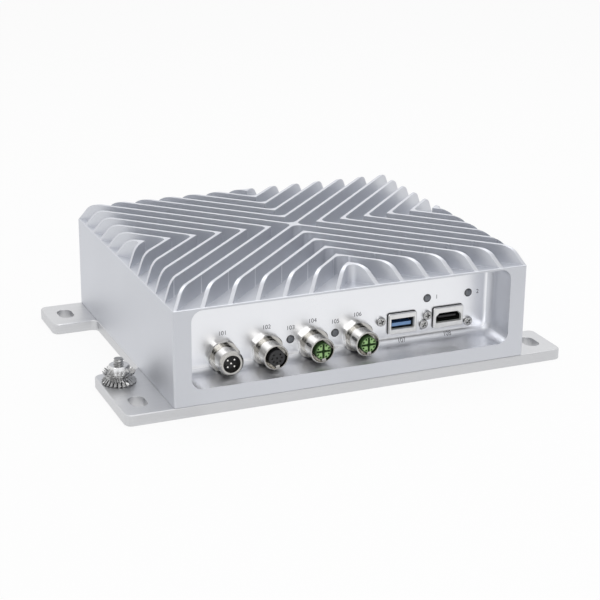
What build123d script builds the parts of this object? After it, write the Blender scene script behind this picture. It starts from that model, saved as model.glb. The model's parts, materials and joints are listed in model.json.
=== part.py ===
from build123d import *
import os
from math import cos, radians, sin, sqrt, tan

# Fanless edge computer: a finned aluminium housing screwed to a base plate with four ears.
# Millimetres. X runs along the front to the right, Y to the back, Z up.
# The origin is at the middle of the base plate's underside.

# Housing
body_width = 191.7
body_depth = 162.7
wall_height = 49.6
side_wall = 8.3
roof_thickness = 5.0
corner_round = 1.0
edge_round = 0.5
seam_chamfer = 0.25
cavity_corner = 5.0

# Fin field
fin_height = 9.45
fin_thickness = 1.6
fin_pitch = 9.9
fin_end_angle = 60.0
fin_crest_radius = 6.65

# Front recess and the panel at its back
recess_margin = 9.15
recess_sill = 8.05
recess_rim = 1.1
recess_depth = 19.9
recess_corner = 5.8
recess_floor_radius = 4.55
panel_thickness = 3.3

# Base plate and its ears
plate_thickness = 5.8
ear_length = 24.1
ear_depth = 30.7
stud_ear_depth = 55.6
ear_corner = 3.75
ear_root = 3.3
plate_chamfer = 0.4
slot_length = 13.3
slot_width = 8.3
slot_inset_x = 13.3
slot_inset_y = 15.4

# Gasket and base plate screws
gasket_width = 1.65
gasket_depth = 1.25
gasket_inset = 1.25
base_screw_diameter = 2.5
base_screw_head = 5.0
base_screw_inset = 3.5
base_screw_grip = 5.8
base_screw_columns = 4
base_screw_side_rows = 2

# Ground stud
stud_diameter = 5.0
stud_reach = 12.6
stud_inset_x = 14.4
stud_inset_y = 42.7
stud_tip_chamfer = 0.65
stud_foot = 0.85
nut_across_flats = 9.5
nut_thickness = 4.65
nut_turn = -14.3
washer_diameter = 17.3
washer_bore_gap = 0.2
washer_thickness = 1.1
washer_teeth = 18
washer_tooth_length = 2.8
washer_notch_width = 1.1
lower_washer_drop = 2.4
upper_washer_diameter = 16.4
upper_washer_rise = 1.5

# Round ports, placed from the middle of the front
port_height = 15.9
power_port_x = -63.7
data_port_x = -40.3
network_port_2_x = -15.4
network_port_1_x = 9.55
port_reach = 13.3
flange_across_flats = 15.4
flange_diameter = 16.6
flange_thickness = 3.0
flange_chamfer = 0.4
flange_turn = 35.5
power_flange_turn = 5.0
spot_face_clearance = 0.25
tail_diameter = 10.8
tail_clearance = 0.1
barrel_diameter = 13.0
male_tip = 10.8
male_bore = 9.0
female_bore = 11.8
barrel_floor = 5.8
insert_stem = 8.0
female_insert = 8.5
female_insert_rise = 0.7
male_insert_recess = 5.4
female_barrel_chamfer = 0.25
contact_diameter = 1.0
contact_circle = 5.0
contact_places = 8
contact_depth = 1.65
pin_diameter = 0.9
pin_circle = 4.9
pin_count = 4
pin_turn = 45.0
pin_recess = 1.25
key_width = 2.2
key_depth = 0.35
key_gap = 0.1
key_angle = -80.0
cross_length = 7.4
cross_thickness = 0.65
cross_depth = 2.5
cross_recess = 1.0
cross_slot = 1.0
pair_offset = 3.1
pair_spread = 2.0
seal_width = 0.65
seal_height = 0.65
back_nut_across_flats = 13.9
back_nut_thickness = 2.5

# Indicator lenses
lens_diameter = 4.4
lens_dome = 0.65
lens_pipe_diameter = 3.3
lens_seat_depth = 1.65
link_lens_height = 19.1
link_lens_2_x = -27.3
link_lens_1_x = -2.8
status_lens_height = 31.0
status_lens_left_x = 49.2
status_lens_right_x = 73.2
led_size = 2.65
led_height = 1.0

# Rectangular ports
usb_port_x = 34.7
video_port_x = 61.3
rect_port_height = 19.7
usb_face_width = 16.1
usb_face_height = 11.3
video_face_width = 17.3
video_face_height = 11.3
rect_port_corner = 1.0
frame_reach = 0.9
face_thickness = 0.9
face_chamfer = 0.4
rect_port_clearance = 0.15
usb_mouth_width = 13.3
usb_mouth_height = 5.9
video_mouth_width = 14.8
video_mouth_height = 5.4
video_mouth_shoulder = 1.9
usb_shell_width = 13.1
usb_shell_height = 5.7
video_shell_width = 14.6
video_shell_height = 5.2
video_shell_shoulder = 1.8
shell_sheet = 0.3
usb_tongue_width = 11.1
usb_tongue_thickness = 1.85
usb_tongue_rise = -0.8
video_tongue_width = 10.2
video_tongue_thickness = 0.95
tongue_recess = 1.0
tongue_plug_depth = 2.5
frame_flange_thickness = 2.05
frame_ear_radius = 3.25
port_screw_offset_x = 12.05
port_screw_rise = 2.05
port_screw_drop = -4.3
port_screw_diameter = 2.5
port_screw_hole = 2.8
port_screw_head = 5.15
port_screw_head_height = 1.6
port_screw_head_round = 1.1
port_screw_tail = 1.25

# Port board, upright behind the panel
board_thickness = 1.6
port_board_gap = 9.95
port_board_side_gap = 6.65
port_board_bottom_gap = 4.15
port_board_top_gap = 2.5
pillar_across_flats = 4.55
pillar_inset = 5.0
pillar_stub = 1.65
small_screw_diameter = 2.0
small_screw_head = 3.8
small_screw_head_height = 1.25
small_screw_grip = 4.15

# Carrier board, hung from bosses under the roof
carrier_side_gap = 7.45
carrier_front_gap = 2.5
carrier_back_gap = 8.3
boss_diameter = 6.65
boss_inset = 5.0
board_screw_diameter = 2.5
board_screw_head = 4.65
board_screw_head_height = 1.5
board_screw_grip = 5.0
link_width = 49.8
link_depth = 9.95
link_height = 4.65

# Compute module and the heat path up into the roof
pedestal_height = 6.65
pedestal_width = 73.0
pedestal_depth = 63.1
module_width = 100.0
module_depth = 87.0
module_link_gap = 4.75
pad_thickness = 0.85
spreader_overhang = 7.45
spreader_thickness = 4.15
processor_size = 31.5
processor_height = 2.05
memory_width = 11.6
memory_depth = 7.45
memory_height = 0.85
module_connector_width = 58.1
module_connector_depth = 5.8
module_connector_height = 4.15

# Storage card under the carrier board
storage_width = 22.0
storage_length = 80.0
storage_thickness = 0.8
storage_drop = 2.0
storage_socket_depth = 6.65
storage_socket_height = 3.5
storage_x = -41.5
storage_end_gap = 11.6
storage_chip_size = 10.8
storage_chip_height = 1.0
storage_chip_count = 3
storage_chip_pitch = 16.6
storage_chip_start = 14.9

# Power parts on the carrier board
inductor_size = 9.15
inductor_height = 5.8
capacitor_diameter = 6.65
capacitor_height = 8.3
power_part_count = 4
power_part_pitch = 12.4

# Levels and planes that follow from the sizes above
plate_top = plate_thickness
channel_floor = plate_top + wall_height
roof_underside = channel_floor - roof_thickness
front_y = -body_depth / 2
panel_front = front_y + recess_depth
panel_back = panel_front + panel_thickness
cavity_half = body_width / 2 - side_wall
cavity_back = body_depth / 2 - side_wall
pedestal_bottom = roof_underside - pedestal_height
spreader_top = pedestal_bottom - pad_thickness
spreader_bottom = spreader_top - spreader_thickness
module_top = spreader_bottom - processor_height
module_bottom = module_top - board_thickness
carrier_top = module_bottom - module_connector_height
carrier_bottom = carrier_top - board_thickness
port_board_front = panel_back + port_board_gap
port_board_back = port_board_front + board_thickness
module_y = port_board_back + link_depth + module_link_gap + module_depth / 2
tail_length = panel_thickness + port_board_gap
stud_base = plate_top
lower_washer_top = stud_base + lower_washer_drop + washer_thickness
nut_bottom = lower_washer_top + washer_thickness

UP = (Align.CENTER, Align.CENTER, Align.MIN)
DOWN = (Align.CENTER, Align.CENTER, Align.MAX)


def block(x0, x1, y0, y1, z0, z1):
    """A box given by its limits."""
    middle = Pos((x0 + x1) / 2, (y0 + y1) / 2, (z0 + z1) / 2)
    return middle * Box(x1 - x0, y1 - y0, z1 - z0)


def rod(diameter, low, high):
    """A round bar along the local Z axis between two heights."""
    return Pos(0, 0, low) * Cylinder(diameter / 2, high - low, align=UP)


def hexagon(across_flats, low, high, turn=0.0):
    """A hexagonal bar along the local Z axis between two heights."""
    outline = RegularPolygon(across_flats / 2, 6, major_radius=False, rotation=turn)
    return extrude(Pos(0, 0, low) * outline, amount=high - low)


def on_panel(x, height):
    """Plane on the panel's front: local X to the right, local Y up, local Z out of the panel."""
    origin = (x, panel_front, plate_top + height)
    return Plane(origin=origin, x_dir=(1, 0, 0), z_dir=(0, -1, 0))


def group(solids):
    """Separate solids that share one node."""
    return Compound(children=list(solids))


def ring_places(count, circle):
    """Places evenly spread on a circle, as local X and Y."""
    turns = [360.0 * i / count for i in range(count)]
    return [(circle / 2 * cos(radians(t)), circle / 2 * sin(radians(t))) for t in turns]


def channel_outlines():
    """The milled channels in plan: V-shaped, one cutter wide, round where the cutter turned."""
    cutter = fin_pitch - fin_thickness
    step = fin_pitch * sqrt(2)
    reach = body_width + body_depth
    outlines = []
    for half_size, turns in ((body_depth / 2, (90, 270)), (body_width / 2, (0, 180))):
        offset = step / 2
        while offset - cutter / 2 < half_size:
            leg = Rectangle(reach, cutter, align=(Align.MIN, Align.CENTER))
            channel = Rot(0, 0, 45) * leg + Rot(0, 0, -45) * leg + Circle(cutter / 2)
            if offset + cutter > half_size:
                channel += Rectangle(reach, cutter, align=(Align.MIN, Align.CENTER))
            for turn in turns:
                outlines.append(Rot(0, 0, turn) * Pos(offset, 0) * channel)
            offset += step
    return outlines


def fin_field():
    """The fins: a block with sloping, rounded sides, cut by the channels."""
    width = body_width - 2 * edge_round
    depth = body_depth - 2 * edge_round
    foot = Plane.XY.offset(channel_floor) * Rectangle(width, depth)
    field = extrude(foot, amount=fin_height, taper=90 - fin_end_angle)
    crest = field.faces().sort_by(Axis.Z)[-1].edges()
    field = fillet(crest, fin_crest_radius)
    level = Plane.XY.offset(channel_floor)
    cutters = [extrude(level * outline, amount=fin_height) for outline in channel_outlines()]
    return field - cutters


def recess():
    """The space of the front recess: rounded inner edges, and a spot face under each flange."""
    width = body_width - 2 * recess_margin
    height = wall_height - recess_sill - recess_rim
    middle = plate_top + recess_sill + height / 2
    mouth = Plane(origin=(0, front_y, middle), x_dir=(1, 0, 0), z_dir=(0, 1, 0))
    space = extrude(mouth * RectangleRounded(width, height, recess_corner), amount=recess_depth)
    rounded = fillet(space.faces().sort_by(Axis.Y)[-1].edges(), recess_floor_radius)
    spot_face = rod(flange_diameter + 2 * spot_face_clearance, 0, recess_floor_radius)
    for x in round_ports.values():
        rounded += on_panel(x, port_height) * spot_face
    return rounded


def boss_places():
    """Carrier board screw places, as X and Y."""
    x = cavity_half - carrier_side_gap - boss_inset
    front = port_board_back + carrier_front_gap + boss_inset
    back = cavity_back - carrier_back_gap - boss_inset
    return [(side * x, y) for side in (-1, 1) for y in (front, (front + back) / 2, back)]


def spreader_screw_places():
    """Heat spreader screw places, as X and Y."""
    x = module_width / 2 + spreader_overhang / 2
    y = module_depth / 2 - boss_inset
    return [(i * x, module_y + j * y) for i in (-1, 1) for j in (-1, 1)]


def base_screw_places():
    """Base plate screw places, as X and Y, all round the rim."""
    x = body_width / 2 - base_screw_inset
    y = body_depth / 2 - base_screw_inset
    columns = [x * (2 * i / (base_screw_columns - 1) - 1) for i in range(base_screw_columns)]
    spots = [(cx, side * y) for cx in columns for side in (-1, 1)]
    for row in range(base_screw_side_rows):
        ry = y * (2 * (row + 1) / (base_screw_side_rows + 1) - 1)
        spots += [(side * x, ry) for side in (-1, 1)]
    return spots


def port_screw_places(port_x):
    """The two screws of a rectangular port, as X and height on the panel."""
    left = (port_x - port_screw_offset_x, rect_port_height + port_screw_rise)
    right = (port_x + port_screw_offset_x, rect_port_height + port_screw_drop)
    return [left, right]


def pillar_places():
    """Port board pillars, as X and height on the panel."""
    x = cavity_half - port_board_side_gap - pillar_inset
    low = port_board_bottom_gap + pillar_inset
    high = roof_underside - plate_top - port_board_top_gap - pillar_inset
    return [(side * x, z) for side in (-1, 1) for z in (low, high)]


round_ports = {
    "power_port": power_port_x,
    "data_port": data_port_x,
    "network_port_2": network_port_2_x,
    "network_port_1": network_port_1_x,
}
rect_ports = {
    "usb_port": (usb_port_x, usb_face_width, usb_face_height),
    "video_port": (video_port_x, video_face_width, video_face_height),
}
lenses = {
    "link_lens_2": (link_lens_2_x, link_lens_height),
    "link_lens_1": (link_lens_1_x, link_lens_height),
    "status_lens_left": (status_lens_left_x, status_lens_height),
    "status_lens_right": (status_lens_right_x, status_lens_height),
}


def gasket_ring(height):
    """The gasket's square ring, just outside the cavity, rising from the plate."""
    half_x = cavity_half + gasket_inset
    back = cavity_back + gasket_inset
    front = panel_back - gasket_inset
    middle = Pos(0, (front + back) / 2)
    inner = RectangleRounded(2 * half_x, back - front, cavity_corner)
    grown = 2 * gasket_width
    outer = RectangleRounded(2 * half_x + grown, back - front + grown, cavity_corner + gasket_width)
    return extrude(Plane.XY.offset(plate_top) * middle * (outer - inner), amount=height)


def heatsink_housing():
    """Housing with its fins, front recess, cavity, pedestal and bosses, all one piece."""
    shell = block(-body_width / 2, body_width / 2, front_y, -front_y, plate_top, channel_floor)
    shell = fillet(shell.edges().filter_by(Axis.Z), corner_round)
    shell = fillet(shell.faces().sort_by(Axis.Z)[-1].edges(), edge_round)
    shell = chamfer(shell.faces().sort_by(Axis.Z)[0].edges(), seam_chamfer)
    shell += fin_field()
    cavity = block(-cavity_half, cavity_half, panel_back, cavity_back, plate_top, roof_underside)
    shell -= fillet(cavity.edges().filter_by(Axis.Z), cavity_corner)
    shell -= recess()
    pedestal = Box(pedestal_width, pedestal_depth, pedestal_height, align=UP)
    shell += Pos(0, module_y, pedestal_bottom) * pedestal
    for x, y in boss_places():
        shell += Pos(x, y) * rod(boss_diameter, carrier_top, roof_underside)
        shell -= Pos(x, y) * rod(board_screw_diameter, carrier_top, carrier_top + board_screw_grip)
    for x, y in spreader_screw_places():
        shell += Pos(x, y) * rod(boss_diameter, spreader_top, roof_underside)
        shell -= Pos(x, y) * rod(board_screw_diameter, spreader_top, spreader_top + board_screw_grip)
    for x, y in base_screw_places():
        shell -= Pos(x, y) * rod(base_screw_diameter, plate_top, plate_top + base_screw_grip)
    for x in round_ports.values():
        hole = rod(tail_diameter + 2 * tail_clearance, -panel_thickness, 0)
        shell -= on_panel(x, port_height) * hole
    for x, height in lenses.values():
        shell -= on_panel(x, height) * rod(lens_pipe_diameter, -panel_thickness, 0)
        shell -= on_panel(x, height) * rod(lens_diameter, -lens_seat_depth, 0)
    for x, width, height in rect_ports.values():
        gap = 2 * rect_port_clearance
        opening = RectangleRounded(width + gap, height + gap, rect_port_corner + rect_port_clearance)
        shell -= extrude(on_panel(x, rect_port_height) * opening, amount=-panel_thickness)
        for screw_x, screw_z in port_screw_places(x):
            shell -= on_panel(screw_x, screw_z) * rod(port_screw_hole, -panel_thickness, 0)
    stub = rod(small_screw_diameter, -panel_thickness, pillar_stub - panel_thickness)
    for x, height in pillar_places():
        shell -= on_panel(x, height) * stub
    return shell - gasket_ring(gasket_depth)


def plate_outline():
    """The base plate in plan: a rectangle under the housing with an ear at each corner."""
    outline = Rectangle(body_width, body_depth)
    far = body_width / 2 + ear_length
    for side in (-1, 1):
        for end in (-1, 1):
            depth = stud_ear_depth if (side, end) == (-1, -1) else ear_depth
            ear = Pos(side * (far - ear_length / 2), end * (body_depth - depth) / 2)
            outline += ear * Rectangle(ear_length, depth)
    tips = outline.vertices().filter_by(lambda v: abs(v.X) > far - ear_length / 2)
    outline = fillet(tips, ear_corner)
    near = body_width / 2
    roots = outline.vertices().filter_by(lambda v: abs(abs(v.X) - near) < ear_length / 4)
    return fillet(roots, ear_root)


def slot_places():
    """Mounting slot centres, as X and Y."""
    x = body_width / 2 + slot_inset_x
    y = body_depth / 2 - slot_inset_y
    return [(i * x, j * y) for i in (-1, 1) for j in (-1, 1)]


def stud_place():
    """The ground stud's axis."""
    return Pos(-body_width / 2 - stud_inset_x, front_y + stud_inset_y)


def countersunk_screw(diameter, head, low, high):
    """A flat-head screw, head down and flush."""
    cone = (head - diameter) / 2
    head_part = Pos(0, 0, low) * Cone(head / 2, diameter / 2, cone, align=UP)
    return head_part + rod(diameter, low, high)


def base_plate():
    """Base plate with its slots, the stud's hole and the countersunk screw holes."""
    plate = extrude(plate_outline(), amount=plate_thickness)
    top = plate.faces().sort_by(Axis.Z)[-1].edges()
    bottom = plate.faces().sort_by(Axis.Z)[0].edges()
    plate = chamfer(top + bottom, plate_chamfer)
    slot = extrude(SlotOverall(slot_length, slot_width, rotation=90), amount=plate_thickness)
    for x, y in slot_places():
        plate -= Pos(x, y) * slot
    plate -= stud_place() * rod(stud_diameter, stud_foot, plate_top)
    screw = countersunk_screw(base_screw_diameter, base_screw_head, 0, plate_top)
    for x, y in base_screw_places():
        plate -= Pos(x, y) * screw
    return plate


def base_screws():
    """Countersunk screws that hold the plate to the housing from below."""
    screw = countersunk_screw(base_screw_diameter, base_screw_head, 0, plate_top + base_screw_grip)
    return group(Pos(x, y) * screw for x, y in base_screw_places())


def ground_stud():
    """Plain-turned ground stud set in the long ear."""
    top = stud_base + stud_reach
    stud = rod(stud_diameter, stud_foot, top)
    stud = chamfer(stud.faces().sort_by(Axis.Z)[-1].edges(), stud_tip_chamfer)
    return stud_place() * stud


def ground_nut():
    """Hex nut with its corners rounded off top and bottom."""
    top = nut_bottom + nut_thickness
    blank = hexagon(nut_across_flats, nut_bottom, top, turn=nut_turn)
    corners = nut_across_flats / sqrt(3)
    slope = corners - nut_across_flats / 2
    dome = rod(2 * corners, nut_bottom, top)
    dome = chamfer(dome.edges().filter_by(GeomType.CIRCLE), slope * tan(radians(30)), slope)
    return stud_place() * (blank & dome) - stud_place() * rod(stud_diameter, nut_bottom, top)


def star_washer(diameter, top, rise):
    """Toothed lock washer: a flat middle with its top at a height, and teeth that rise or drop to the rim."""
    inner = stud_diameter / 2 + washer_bore_gap
    flat = nut_across_flats / sqrt(3)
    rim = diameter / 2
    middle = top - washer_thickness
    section = Polyline(
        (inner, middle),
        (flat, middle),
        (rim, middle + rise),
        (rim, top + rise),
        (flat, top),
        (inner, top),
        close=True,
    )
    disc = revolve(Plane.XZ * make_face(section), Axis.Z)
    notch = Box(2 * washer_tooth_length, washer_notch_width, abs(rise) + washer_thickness, align=UP)
    notch = Pos(rim, 0, middle + min(rise, 0)) * notch
    for i in range(washer_teeth):
        disc -= Rot(0, 0, 360 * i / washer_teeth) * notch
    return stud_place() * disc


def port_key(gap):
    """Key in a female port: from the barrel's wall into the insert's side; gap widens it to its keyway."""
    inner = female_insert / 2 - key_depth - gap
    length = (female_bore + barrel_diameter) / 4 - inner
    bar = Pos(inner + length / 2, 0, barrel_floor) * Box(
        length, key_width + 2 * gap, port_reach + female_insert_rise - barrel_floor, align=UP
    )
    return Rot(0, 0, key_angle) * bar


def round_port_shell(x, bore, nose_chamfer, turn, keyed):
    """Metal shell of a round port: tail through the panel, hex flange and barrel."""
    flange = hexagon(flange_across_flats, 0, flange_thickness, turn)
    turned = rod(flange_diameter, 0, flange_thickness)
    turned = chamfer(turned.faces().sort_by(Axis.Z)[-1].edges(), flange_chamfer)
    shell = flange & turned
    nose = rod(barrel_diameter, 0, port_reach)
    shell += chamfer(nose.faces().sort_by(Axis.Z)[-1].edges(), nose_chamfer)
    shell += rod(tail_diameter, -panel_thickness - back_nut_thickness, 0)
    shell -= rod(bore, barrel_floor, port_reach)
    shell -= rod(insert_stem, -tail_length, barrel_floor)
    if keyed:
        shell += port_key(0) & rod(barrel_diameter, barrel_floor, port_reach - nose_chamfer)
    groove = rod(tail_diameter + 2 * seal_width, 0, seal_height) - rod(tail_diameter, 0, seal_height)
    return on_panel(x, port_height) * (shell - groove)


def insert_blank(head_diameter, face):
    """Moulded insert: a stem through the shell and a head that fills or stands in the bore."""
    return rod(insert_stem, -tail_length, barrel_floor) + rod(head_diameter, barrel_floor, face)


def female_face():
    """Height of a female insert's face above the panel."""
    return port_reach + female_insert_rise


def power_pins():
    """The power port's pins: a ring of them and one in the middle."""
    spots = ring_places(pin_count, pin_circle) + [(0.0, 0.0)]
    top = port_reach - pin_recess
    pins = []
    for px, py in spots:
        pin = rod(pin_diameter, -tail_length, top)
        pins.append(Rot(0, 0, pin_turn) * Pos(px, py) * pin)
    return pins


def data_contacts():
    """The data port's contacts: a ring of them with the topmost place left empty, and one in the middle."""
    ring = ring_places(contact_places, contact_circle)
    spots = [spot for spot in ring if spot[1] < contact_circle / 2 * 0.99] + [(0.0, 0.0)]
    top = female_face() - contact_depth
    return [Pos(cx, cy) * rod(contact_diameter, -tail_length, top) for cx, cy in spots]


def network_contacts():
    """A network port's contacts: a pair in each of four quadrants."""
    top = female_face() - contact_depth
    contacts = []
    for turn in (0, 90, 180, 270):
        for side in (-1, 1):
            spot = Rot(0, 0, turn + 45) * Pos(pair_offset, side * pair_spread / 2)
            contacts.append(spot * rod(contact_diameter, -tail_length, top))
    return contacts


def cross_bars(width, bottom, height):
    """Two upright bars that cross on a network port's axis."""
    bars = Box(cross_length, width, height, align=UP) + Box(width, cross_length, height, align=UP)
    return Pos(0, 0, bottom) * bars


def shield_cross():
    """Metal cross that keeps a network port's four pairs apart."""
    return cross_bars(cross_thickness, female_face() - cross_recess - cross_depth, cross_depth)


def power_port_insert():
    """Black insert at the bottom of the male port, round its pins."""
    insert = insert_blank(male_bore, port_reach - male_insert_recess)
    for pin in power_pins():
        insert -= pin
    return on_panel(power_port_x, port_height) * insert


def female_insert_body(contacts):
    """Insert of a female port with its keyway and the wells over its contacts."""
    face = female_face()
    insert = insert_blank(female_insert, face) - port_key(key_gap)
    for contact in contacts:
        insert -= contact
        insert -= Pos(0, 0, contact_depth) * contact
    return insert


def data_port_insert():
    """Black insert of the data port."""
    return on_panel(data_port_x, port_height) * female_insert_body(data_contacts())


def network_port_insert(x):
    """Four-quadrant insert of a network port, slotted for the shield cross, which lies below its face."""
    slots = cross_bars(cross_slot, female_face() - cross_recess, cross_recess)
    insert = female_insert_body(network_contacts()) - shield_cross() - slots
    return on_panel(x, port_height) * insert


def port_seals():
    """Sealing rings under the flanges of the round ports."""
    ring = rod(tail_diameter + 2 * seal_width, 0, seal_height) - rod(tail_diameter, 0, seal_height)
    return group(on_panel(x, port_height) * ring for x in round_ports.values())


def port_back_nuts():
    """Hex nuts behind the panel on the tails of the round ports."""
    low = -panel_thickness - back_nut_thickness
    nut = hexagon(back_nut_across_flats, low, -panel_thickness)
    nut -= rod(tail_diameter, low, -panel_thickness)
    return group(on_panel(x, port_height) * nut for x in round_ports.values())


def lens(x, height):
    """Indicator lens: a low dome, a shoulder in the panel and a light pipe to its LED."""
    rim = lens_diameter / 2
    ball = (rim**2 + lens_dome**2) / (2 * lens_dome)
    dome = Pos(0, 0, lens_dome - ball) * Sphere(ball)
    dome &= rod(lens_diameter, 0, lens_dome)
    body = dome + rod(lens_diameter, -lens_seat_depth, 0)
    body += rod(lens_pipe_diameter, led_height - tail_length, -lens_seat_depth)
    return on_panel(x, height) * body


def rect_port_frame(x, width, height, shell_outline):
    """Moulded frame of a rectangular port: it fills the panel's opening and has screw ears behind."""
    place = on_panel(x, rect_port_height)
    nose = RectangleRounded(width, height, rect_port_corner)
    frame = extrude(Pos(0, 0, -panel_thickness) * nose, amount=panel_thickness + frame_reach)
    behind = -panel_thickness - frame_flange_thickness
    ears = Rectangle(width, height)
    for screw_x, screw_z in port_screw_places(x):
        reach = screw_x - x
        rise = screw_z - rect_port_height
        ears += Pos(reach, rise) * Circle(frame_ear_radius)
        ears += Pos(reach / 2, rise) * Rectangle(abs(reach), 2 * frame_ear_radius)
    frame += extrude(Pos(0, 0, behind) * ears, amount=frame_flange_thickness)
    block_width = width - 2 * rect_port_corner
    block_height = height - 2 * rect_port_corner
    frame += extrude(Pos(0, 0, -tail_length) * Rectangle(block_width, block_height), amount=port_board_gap)
    frame -= extrude(Pos(0, 0, -tail_length) * shell_outline, amount=tail_length + frame_reach)
    for screw_x, screw_z in port_screw_places(x):
        hole = Pos(screw_x - x, screw_z - rect_port_height)
        frame -= hole * rod(port_screw_diameter, behind, -panel_thickness)
    return place * frame


def rect_port_face(x, width, height, mouth, shell_outline):
    """Metal face of a rectangular port; its mouth narrows to the shell like a lead-in."""
    front = frame_reach + face_thickness
    outline = RectangleRounded(width, height, rect_port_corner)
    face = extrude(Pos(0, 0, frame_reach) * outline, amount=face_thickness)
    face = chamfer(face.faces().sort_by(Axis.Z)[-1].edges(), face_chamfer)
    funnel = loft([Pos(0, 0, frame_reach) * shell_outline, Pos(0, 0, front) * mouth])
    return on_panel(x, rect_port_height) * (face - funnel)


def video_outline(width, height, shoulder):
    """Six-sided outline of the video port: a rectangle whose upper corners are cut off."""
    return make_face(Polyline(
        (-width / 2, -height / 2),
        (width / 2, -height / 2),
        (width / 2, height / 2 - shoulder),
        (width / 2 - shoulder, height / 2),
        (shoulder - width / 2, height / 2),
        (-width / 2, height / 2 - shoulder),
        close=True,
    ))


def usb_outline(width, height):
    """Rectangular outline of the USB port."""
    return Rectangle(width, height)


def port_shell(x, outer, inner):
    """Sheet metal tube of a rectangular port, from its face back to the port board."""
    tube = extrude(Pos(0, 0, -tail_length) * (outer - inner), amount=tail_length + frame_reach)
    return on_panel(x, rect_port_height) * tube


def port_tongue(x, inner, width, thickness, rise):
    """Contact tongue and the plug of plastic that closes its shell at the back."""
    plug = extrude(Pos(0, 0, -tail_length) * inner, amount=tongue_plug_depth)
    tip = frame_reach - tongue_recess
    blade = Pos(0, rise, -tail_length) * Box(width, thickness, tip + tail_length, align=UP)
    return on_panel(x, rect_port_height) * (plug + blade)


def usb_shell_outlines():
    """Outer and inner outline of the USB shell."""
    inside = 2 * shell_sheet
    outer = usb_outline(usb_shell_width, usb_shell_height)
    return outer, usb_outline(usb_shell_width - inside, usb_shell_height - inside)


def video_shell_outlines():
    """Outer and inner outline of the video shell."""
    inside = 2 * shell_sheet
    outer = video_outline(video_shell_width, video_shell_height, video_shell_shoulder)
    inner = video_outline(video_shell_width - inside, video_shell_height - inside, video_shell_shoulder)
    return outer, inner


def port_screws():
    """Pan-head screws through the panel into the ears of the two rectangular port frames."""
    low = -panel_thickness - frame_flange_thickness - port_screw_tail
    head = rod(port_screw_head, 0, port_screw_head_height)
    head = fillet(head.faces().sort_by(Axis.Z)[-1].edges(), port_screw_head_round)
    screw = head + rod(port_screw_diameter, low, 0)
    spots = [spot for port in rect_ports.values() for spot in port_screw_places(port[0])]
    return group(on_panel(x, z) * screw for x, z in spots)


def port_board():
    """Upright board behind the panel that carries every front port."""
    half = cavity_half - port_board_side_gap
    low = plate_top + port_board_bottom_gap
    high = roof_underside - port_board_top_gap
    board = block(-half, half, port_board_front, port_board_back, low, high)
    for x, z in pillar_places():
        board -= on_panel(x, z) * rod(small_screw_diameter, -tail_length - board_thickness, -tail_length)
    return board


def port_board_pillars():
    """Hex pillars between panel and port board, each with a stub in the panel."""
    pillar = hexagon(pillar_across_flats, -tail_length, -panel_thickness)
    pillar += rod(small_screw_diameter, -panel_thickness, pillar_stub - panel_thickness)
    pillar -= rod(small_screw_diameter, -tail_length, small_screw_grip - tail_length)
    return group(on_panel(x, z) * pillar for x, z in pillar_places())


def port_board_screws():
    """Small screws from behind the port board into its pillars."""
    seat = -tail_length - board_thickness
    screw = rod(small_screw_diameter, seat, small_screw_grip - tail_length)
    screw += rod(small_screw_head, seat - small_screw_head_height, seat)
    return group(on_panel(x, z) * screw for x, z in pillar_places())


def indicator_leds():
    """Surface-mounted LEDs on the port board, one behind each lens."""
    led = Pos(0, 0, -tail_length) * Box(led_size, led_size, led_height, align=UP)
    return group(on_panel(x, z) * led for x, z in lenses.values())


def board_link():
    """Right-angle connector between the port board and the carrier board."""
    link = Box(link_width, link_depth, link_height, align=UP)
    return Pos(0, port_board_back + link_depth / 2, carrier_top) * link


def carrier_board():
    """Carrier board, screwed up against the bosses under the roof."""
    half = cavity_half - carrier_side_gap
    front = port_board_back + carrier_front_gap
    board = block(-half, half, front, cavity_back - carrier_back_gap, carrier_bottom, carrier_top)
    for x, y in boss_places():
        board -= Pos(x, y) * rod(board_screw_diameter, carrier_bottom, carrier_top)
    return board


def board_screw(seat, grip_top):
    """Pan-head machine screw driven upwards: its head hangs below the seat."""
    head = rod(board_screw_head, seat - board_screw_head_height, seat)
    return head + rod(board_screw_diameter, seat, grip_top)


def carrier_screws():
    """Screws that hold the carrier board to the housing's bosses."""
    screw = board_screw(carrier_bottom, carrier_top + board_screw_grip)
    return group(Pos(x, y) * screw for x, y in boss_places())


def thermal_pad():
    """Soft pad between heat spreader and pedestal."""
    return Pos(0, module_y, spreader_top) * Box(pedestal_width, pedestal_depth, pad_thickness, align=UP)


def heat_spreader():
    """Aluminium plate on the compute module."""
    width = module_width + 2 * spreader_overhang
    plate = Pos(0, module_y, spreader_bottom) * Box(width, module_depth, spreader_thickness, align=UP)
    for x, y in spreader_screw_places():
        plate -= Pos(x, y) * rod(board_screw_diameter, spreader_bottom, spreader_top)
    return plate


def spreader_screws():
    """Screws that hold the heat spreader to the housing's bosses."""
    screw = board_screw(spreader_bottom, spreader_top + board_screw_grip)
    return group(Pos(x, y) * screw for x, y in spreader_screw_places())


def module_board():
    """Board of the compute module."""
    return Pos(0, module_y, module_bottom) * Box(module_width, module_depth, board_thickness, align=UP)


def processor():
    """Processor package between the module's board and the heat spreader."""
    return Pos(0, module_y, module_top) * Box(processor_size, processor_size, processor_height, align=UP)


def memory_chips():
    """Memory packages beside the processor."""
    chip = Box(memory_width, memory_depth, memory_height, align=UP)
    x = (processor_size + module_width) / 4
    y = processor_size / 4
    return group(Pos(i * x, module_y + j * y, module_top) * chip for i in (-1, 1) for j in (-1, 1))


def module_connector():
    """Board-to-board connector between compute module and carrier board."""
    size = (module_connector_width, module_connector_depth, module_connector_height)
    return Pos(0, module_y + module_depth / 4, carrier_top) * Box(*size, align=UP)


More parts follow.
